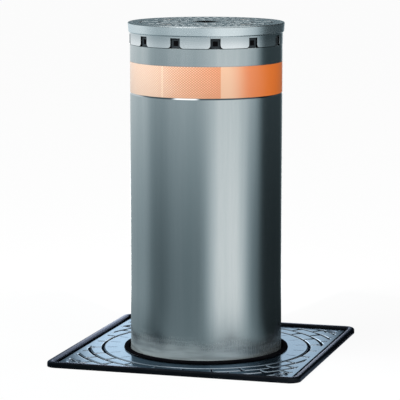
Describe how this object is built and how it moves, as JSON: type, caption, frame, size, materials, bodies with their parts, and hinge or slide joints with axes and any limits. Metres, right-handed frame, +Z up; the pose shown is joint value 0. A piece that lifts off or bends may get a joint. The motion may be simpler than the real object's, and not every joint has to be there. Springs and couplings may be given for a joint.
{
  "type": "hydraulic rising bollard",
  "caption": "Round steel traffic bollard that rises from an in-ground casing on a hydraulic ram, with an orange reflective band, a lamp crown and a square relief-cast cover plate.",
  "frame": {"origin": "on the shaft's axis at paving level, which is the underside of the frame's visible rim", "axes": "+Z up along the shaft, X and Y along the sides of the square frame, -Y towards the front edge"},
  "size_m": [0.462, 0.462, 1.42],
  "materials": {
    "galvanised_steel": "galvanised sheet",
    "black_frame": "black enamel, glossy",
    "cover_casting": "glossy grey enamel on a casting",
    "zinc_steel": "zinc plated",
    "painted_steel": "dark grey primer",
    "white_nylon": "machined nylon",
    "black_rubber": "matt",
    "ground_steel": "ground bar",
    "cast_aluminium": "as cast",
    "motor_paint": "blue-grey paint",
    "black_plastic": "moulded",
    "brushed_stainless": "vertical brush",
    "orange_reflective": "retroreflective film with a fine diamond hatch",
    "head_silver": "satin silver casting",
    "grey_plastic": "moulded",
    "lens_black": "dark tinted lens",
    "hard_chrome": "hard chrome",
    "brass": "turned"
  },
  "bodies": {
    "ground_unit": {"casing_floor": "galvanised_steel", "casing_front": "galvanised_steel", "casing_right": "galvanised_steel", "casing_back": "galvanised_steel", "casing_left": "galvanised_steel", "drain_stub": "galvanised_steel", "conduit_stub": "galvanised_steel", "frame": "black_frame", "cover_plate": "cover_casting", "cover_screws": "zinc_steel", "bore_ring": "cover_casting", "bore_lip": "black_rubber", "guide_flange": "painted_steel", "flange_bolts": "zinc_steel", "guide_bush": "white_nylon", "wiper_seal": "black_rubber", "seal_retainer": "zinc_steel", "guide_columns": "ground_steel", "column_nuts": "zinc_steel", "spacer_tubes": "zinc_steel", "up_stop_buffers": "black_rubber", "down_stop_buffers": "black_rubber", "base_plate": "painted_steel", "ram_barrel": "painted_steel", "ram_gland": "zinc_steel", "rod_wiper": "black_rubber", "ram_foot": "painted_steel", "ram_foot_bolts": "zinc_steel", "pump_body": "cast_aluminium", "pump_motor": "motor_paint", "oil_tank": "motor_paint", "tank_cap": "black_plastic", "valve_block": "cast_aluminium", "pressure_pipe": "zinc_steel", "switch_bar": "zinc_steel", "limit_switches": "black_plastic"},
    "shaft": {"shaft_tube": "brushed_stainless", "reflective_band": "orange_reflective", "top_plate": "painted_steel", "lamp_crown": "head_silver", "led_ring": "grey_plastic", "led_lenses": "lens_black", "head_gasket": "black_rubber", "head_cap": "head_silver", "head_screws": "zinc_steel", "release_plug": "black_plastic", "ram_rod": "hard_chrome", "rod_nut": "zinc_steel", "piston": "ground_steel", "piston_seals": "black_rubber", "foot_ring": "painted_steel", "guide_bushes": "white_nylon", "sensor_magnet": "black_plastic"},
    "spindle": {"release_spindle": "brass"}
  },
  "joints": [
    {"name": "rise", "type": "slide", "parent": "ground_unit", "child": "shaft", "axis": [0, 0, 1], "range_m": [-0.59, 0]},
    {"name": "release_turn", "type": "hinge", "parent": "shaft", "child": "spindle", "pos_m": [0, 0, 0.58], "axis": [0, 0, 1], "range_deg": [0, 180]}
  ]
}
